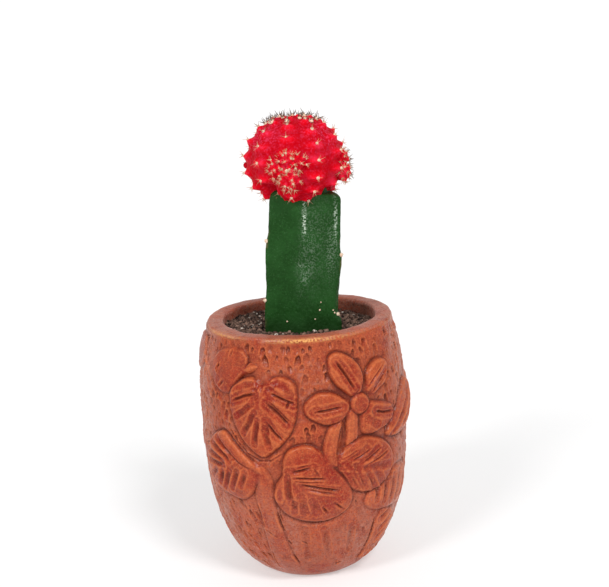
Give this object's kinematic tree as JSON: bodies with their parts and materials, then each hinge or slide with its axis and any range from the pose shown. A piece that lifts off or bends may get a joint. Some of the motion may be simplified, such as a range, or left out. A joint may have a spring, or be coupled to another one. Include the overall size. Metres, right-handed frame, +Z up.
{
  "type": "potted moon cactus",
  "caption": "Red moon cactus grafted on a ribbed green rootstock, planted in soil in a barrel-shaped terracotta pot carved with leaves and a flower.",
  "frame": {"origin": "middle of the pot's flat base, on the surface that it stands on", "axes": "+Z up, -Y to the carved front of the pot, +X to the right as the front is seen"},
  "size_m": [0.0786, 0.0788, 0.173],
  "materials": {
    "terracotta": "satin",
    "potting_soil": "matte",
    "green_flesh": "satin",
    "red_flesh": "satin"
  },
  "bodies": {
    "root": {"pot": "terracotta", "soil": "potting_soil", "rootstock": "green_flesh", "scion": "red_flesh"}
  },
  "joints": []
}
